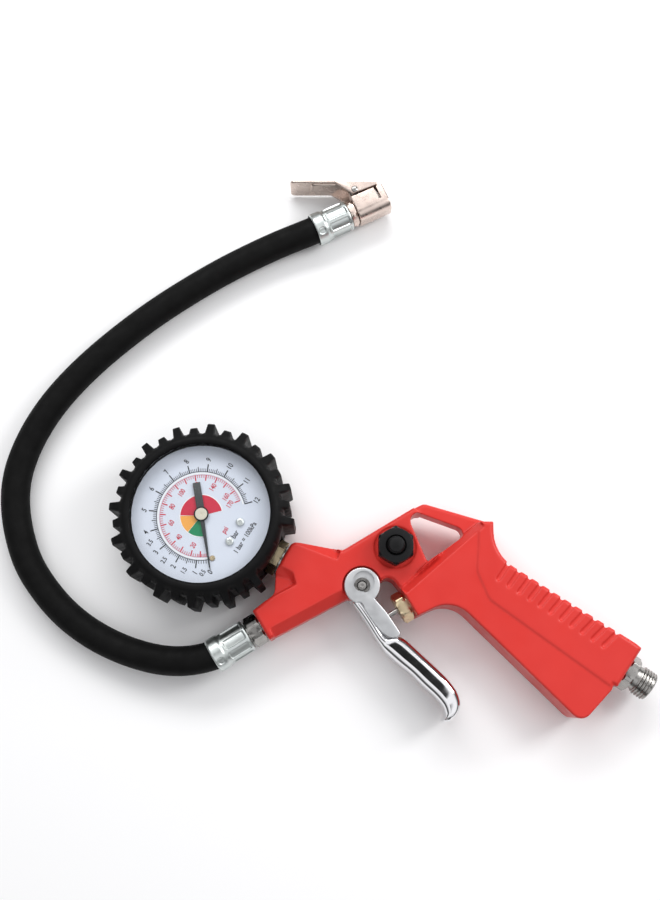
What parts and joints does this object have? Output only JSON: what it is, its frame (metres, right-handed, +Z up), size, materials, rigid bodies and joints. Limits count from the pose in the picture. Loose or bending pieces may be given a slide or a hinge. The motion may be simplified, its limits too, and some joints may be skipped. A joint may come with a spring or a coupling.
{
  "type": "tyre inflator",
  "caption": "Hand tyre inflator with a trigger valve, a dial pressure gauge in a lugged rubber boot, a bleed button, a threaded air inlet and a hose with a clip-on tyre chuck.",
  "frame": {"origin": "centre of the rigid tool's base, on the surface it lies on with its dial up; the hose and its chuck lie beside it", "axes": "+X along the gun from the gauge towards the air inlet, +Y from the trigger towards the gun's back edge, +Z up through the dial"},
  "size_m": [0.2925, 0.2549, 0.0365],
  "materials": {
    "black_plastic": "moulded, satin",
    "boot_rubber": "moulded, matt",
    "dial_print": "printed, satin",
    "hose_rubber": "matt",
    "lens_clear": "clear",
    "nickel_plate": "nickel plated, satin",
    "plain_steel": "machined",
    "red_enamel": "satin",
    "seal_rubber": "smooth",
    "trigger_chrome": "polished",
    "turned_brass": "machined",
    "zinc_plate": "zinc plated, satin"
  },
  "bodies": {
    "gun": {"bleed_bonnet": "black_plastic", "bleed_spring": "plain_steel", "bourdon_tube": "turned_brass", "chuck_body": "nickel_plate", "chuck_depressor": "turned_brass", "chuck_ferrule": "zinc_plate", "chuck_pin": "nickel_plate", "chuck_seal": "seal_rubber", "chuck_spring": "plain_steel", "chuck_tail": "nickel_plate", "dial_post_1": "turned_brass", "dial_post_2": "turned_brass", "dial_screw_1": "zinc_plate", "dial_screw_2": "zinc_plate", "gauge_bezel": "plain_steel", "gauge_boot": "boot_rubber", "gauge_case": "plain_steel", "gauge_dial": "dial_print", "gauge_lens": "lens_clear", "gauge_socket": "turned_brass", "gun_body": "red_enamel", "gun_ferrule": "zinc_plate", "hairspring": "plain_steel", "hose": "hose_rubber", "hose_nipple": "plain_steel", "inlet_filter": "turned_brass", "inlet_nipple": "plain_steel", "movement_back_plate": "turned_brass", "movement_front_plate": "turned_brass", "movement_pillar_1": "turned_brass", "movement_pillar_2": "turned_brass", "socket_washer": "plain_steel", "stem_o_ring": "seal_rubber", "stop_pin": "plain_steel", "trigger_clip": "plain_steel", "trigger_pin": "plain_steel", "valve_nut": "turned_brass", "valve_seat": "turned_brass", "valve_spring": "plain_steel"},
    "trigger": {"trigger": "trigger_chrome"},
    "valve_plunger": {"valve_stem": "plain_steel", "valve_seal": "seal_rubber"},
    "bleed_plunger": {"bleed_button": "black_plastic", "bleed_seal": "seal_rubber"},
    "sector": {"sector_gear": "turned_brass"},
    "link": {"tube_link": "turned_brass"},
    "pointer_shaft": {"pinion": "turned_brass", "pointer": "black_plastic", "pointer_hub": "black_plastic"},
    "clip_lever": {"chuck_lever": "nickel_plate"},
    "jaw": {"chuck_jaw": "plain_steel"}
  },
  "joints": [
    {"name": "trigger_pivot", "type": "hinge", "parent": "gun", "child": "trigger", "pos_m": [-0.00924, -0.00628, 0.013], "axis": [0, 0, 1], "range_deg": [0, 14], "stiffness_Nm_per_rad": 1.2, "springref_deg": -6.88},
    {"name": "valve_slide", "type": "slide", "parent": "gun", "child": "valve_plunger", "axis": [0.8572, 0.515, 0], "range_m": [0, 0.0042], "deforming": ["valve_spring"]},
    {"name": "bleed_press", "type": "slide", "parent": "gun", "child": "bleed_plunger", "axis": [0, 0, -1], "range_m": [0, 0.0019], "stiffness_N_per_m": 900, "springref_m": -0.001, "deforming": ["bleed_spring"]},
    {"name": "sector_swing", "type": "hinge", "parent": "gun", "child": "sector", "pos_m": [-0.07833, 0.00764, 0.0217], "axis": [0, 0, 1], "range_deg": [0, 33.12], "stiffness_Nm_per_rad": 0.002, "springref_deg": -2.86},
    {"name": "link_swing", "type": "hinge", "parent": "sector", "child": "link", "pos_m": [-0.0841, 0.01064, 0.0204], "axis": [0, 0, 1], "range_deg": [-33.3, 0]},
    {"name": "pointer_spin", "type": "hinge", "parent": "gun", "child": "pointer_shaft", "pos_m": [-0.07904, 0.02382, 0.0305], "axis": [0, 0, 1], "range_deg": [-266, 0], "deforming": ["hairspring"]},
    {"name": "lever_swing", "type": "hinge", "parent": "gun", "child": "clip_lever", "pos_m": [-0.0116, 0.18202, 0.0085], "axis": [0, 0, 1], "range_deg": [0, 14], "stiffness_Nm_per_rad": 0.3, "springref_deg": -11.46, "deforming": ["chuck_spring"]},
    {"name": "jaw_slide", "type": "slide", "parent": "gun", "child": "jaw", "axis": [-0.4289, 0.9033, 0], "range_m": [0, 0.0023]}
  ],
  "couplings": [
    {"joint": "valve_slide", "follows": "trigger_pivot", "m_per_rad": 0.0165},
    {"joint": "pointer_spin", "follows": "sector_swing", "ratio": -8},
    {"joint": "link_swing", "follows": "sector_swing", "ratio": -1},
    {"joint": "jaw_slide", "follows": "lever_swing", "m_per_rad": 0.0093}
  ]
}
